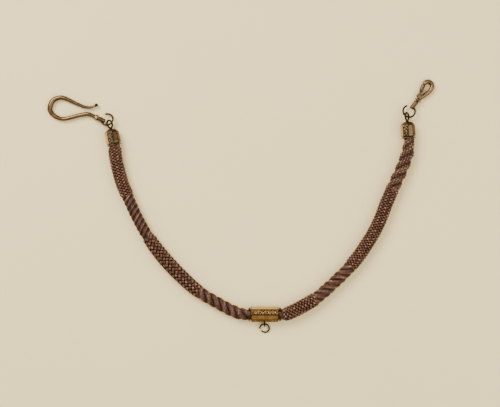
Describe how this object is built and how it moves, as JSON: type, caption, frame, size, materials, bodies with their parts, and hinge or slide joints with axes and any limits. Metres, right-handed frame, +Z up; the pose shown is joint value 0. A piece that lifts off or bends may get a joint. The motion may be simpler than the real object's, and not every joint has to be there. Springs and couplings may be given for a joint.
{
  "type": "pocket watch chain",
  "caption": "Braided hair watch chain with a faceted tube and fob ring at the middle, faceted end caps, and jump rings that carry an open swivel hook and a sprung swivel clip.",
  "frame": {"origin": "on the table, under the middle of the chain as it lies in its U", "axes": "+X from the hook end to the clip end, +Y from the centre tube to the open side of the U, +Z up from the table"},
  "size_m": [0.2175, 0.1428, 0.0088],
  "materials": {
    "hair": "dark red-brown hair, braided and twisted round a core, satin sheen",
    "gold": "rolled gold, polished facets between engraved ones, worn",
    "dark_gold": "rolled gold wire, darkened and worn",
    "thread": "dark binding thread",
    "steel": "bright wire and washers"
  },
  "bodies": {
    "centre": {"centre_tube": "gold", "centre_collar_left": "gold", "centre_collar_right": "gold", "centre_binding_left": "thread", "centre_binding_right": "thread", "centre_eye": "dark_gold", "braid_left_inner": "hair", "braid_right_inner": "hair"},
    "fob_ring": {"fob_ring": "dark_gold"},
    "left_middle": {"braid_left_middle": "hair"},
    "left_outer": {"braid_left_outer": "hair", "left_cap": "gold", "left_cap_rim": "gold", "left_binding": "thread", "left_cap_eye": "dark_gold"},
    "left_ring": {"left_ring": "dark_gold"},
    "left_swivel": {"left_barrel": "dark_gold"},
    "left_hook": {"left_hook": "dark_gold", "left_hook_collar": "gold", "left_swivel_washer": "steel"},
    "right_middle": {"braid_right_middle": "hair"},
    "right_outer": {"braid_right_outer": "hair", "right_cap": "gold", "right_cap_rim": "gold", "right_binding": "thread", "right_cap_eye": "dark_gold"},
    "right_ring": {"right_ring": "dark_gold"},
    "right_swivel": {"right_barrel": "dark_gold"},
    "right_clip": {"right_clip": "dark_gold", "right_clip_collar": "gold", "right_gate_pin": "steel", "right_gate_spring": "steel", "right_swivel_washer": "steel"},
    "right_gate": {"right_gate": "gold"}
  },
  "joints": [
    {"name": "fob_ring_swing", "type": "hinge", "parent": "centre", "child": "fob_ring", "pos_m": [0.0133, -0.06627, 0.00205], "axis": [1, 0, 0], "range_deg": [-90, 60]},
    {"name": "left_bend_near", "type": "hinge", "parent": "centre", "child": "left_middle", "pos_m": [-0.0305, -0.0423, 0.0039], "axis": [0, 0, 1], "range_deg": [-20, 35]},
    {"name": "left_bend_far", "type": "hinge", "parent": "left_middle", "child": "left_outer", "pos_m": [-0.0642, 0.007, 0.0039], "axis": [0, 0, 1], "range_deg": [-20, 35]},
    {"name": "left_ring_swing", "type": "hinge", "parent": "left_outer", "child": "left_ring", "pos_m": [-0.07349, 0.04583, 0.0041], "axis": [-0.848, -0.5299, 0], "range_deg": [-90, 80]},
    {"name": "left_swivel_slide", "type": "hinge", "parent": "left_ring", "child": "left_swivel", "pos_m": [-0.07516, 0.04851, 0.00283], "axis": [-0.1985, 0.3177, 0.9272], "range_deg": [-5, 32]},
    {"name": "left_hook_spin", "type": "hinge", "parent": "left_swivel", "child": "left_hook", "pos_m": [-0.07848, 0.04845, 0.00213], "axis": [-0.9204, 0.3907, -0.0157], "continuous": true},
    {"name": "right_bend_near", "type": "hinge", "parent": "centre", "child": "right_middle", "pos_m": [0.0478, -0.0469, 0.0039], "axis": [0, 0, 1], "range_deg": [-35, 20]},
    {"name": "right_bend_far", "type": "hinge", "parent": "right_middle", "child": "right_outer", "pos_m": [0.0792, -0.0044, 0.0039], "axis": [0, 0, 1], "range_deg": [-35, 20]},
    {"name": "right_ring_swing", "type": "hinge", "parent": "right_outer", "child": "right_ring", "pos_m": [0.09295, 0.05007, 0.0041], "axis": [-0.9205, 0.3907, 0], "range_deg": [-90, 90]},
    {"name": "right_swivel_slide", "type": "hinge", "parent": "right_ring", "child": "right_swivel", "pos_m": [0.09423, 0.05309, 0.00322], "axis": [0.1011, 0.2382, 0.9659], "range_deg": [-45, 5]},
    {"name": "right_clip_spin", "type": "hinge", "parent": "right_swivel", "child": "right_clip", "pos_m": [0.09633, 0.05563, 0.00237], "axis": [0.6148, 0.7869, -0.0523], "continuous": true},
    {"name": "right_gate_open", "type": "hinge", "parent": "right_clip", "child": "right_gate", "pos_m": [0.10003, 0.06199, 0.00199], "axis": [-0.0322, -0.0412, -0.9986], "range_deg": [0, 22], "stiffness_Nm_per_rad": 0.002, "springref_deg": -57.3}
  ]
}
